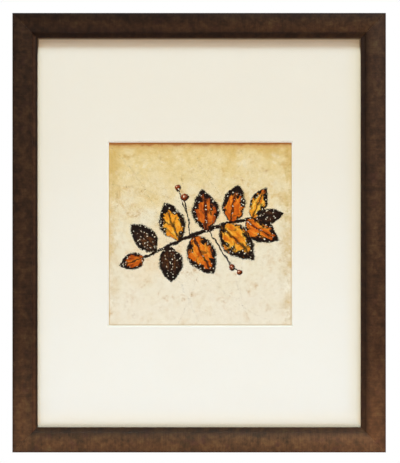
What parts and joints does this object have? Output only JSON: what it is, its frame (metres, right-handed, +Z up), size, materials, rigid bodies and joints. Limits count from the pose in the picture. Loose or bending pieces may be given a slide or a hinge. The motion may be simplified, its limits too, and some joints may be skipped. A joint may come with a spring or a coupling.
{
  "type": "framed picture",
  "caption": "Wall picture: mitred crowned wooden frame, glass, bevelled off-white window mat and a painted sheet, with backing, paper dust cover and a sawtooth hanger behind.",
  "frame": {"origin": "where a wall nail bears in the centre notch of the hanger, in the plane of the wall", "axes": "+Z up along the frame's height, +Y from the picture's face towards the wall, +X to the right of someone facing the picture"},
  "size_m": [0.413, 0.0293, 0.486],
  "materials": {
    "moulding": "satin",
    "glazing": "polished",
    "mat_board": "matte",
    "painted_paper": "matte",
    "mount_board": "matte",
    "backing_board": "matte",
    "points": "satin",
    "kraft_paper": "matte",
    "hanger": "satin",
    "bumpers": "matte"
  },
  "bodies": {
    "root": {"frame_rail_top": "moulding", "frame_rail_bottom": "moulding", "frame_rail_left": "moulding", "frame_rail_right": "moulding", "glass_pane": "glazing", "window_mat": "mat_board", "painted_sheet": "painted_paper", "mount_board": "mount_board", "backing_board": "backing_board", "framer_point_top_1": "points", "framer_point_top_2": "points", "framer_point_bottom_1": "points", "framer_point_bottom_2": "points", "framer_point_left_1": "points", "framer_point_left_2": "points", "framer_point_left_3": "points", "framer_point_right_1": "points", "framer_point_right_2": "points", "framer_point_right_3": "points", "dust_cover": "kraft_paper", "sawtooth_hanger": "hanger", "hanger_nail_left": "hanger", "hanger_nail_right": "hanger", "wall_bumper_left": "bumpers", "wall_bumper_right": "bumpers"}
  },
  "joints": []
}
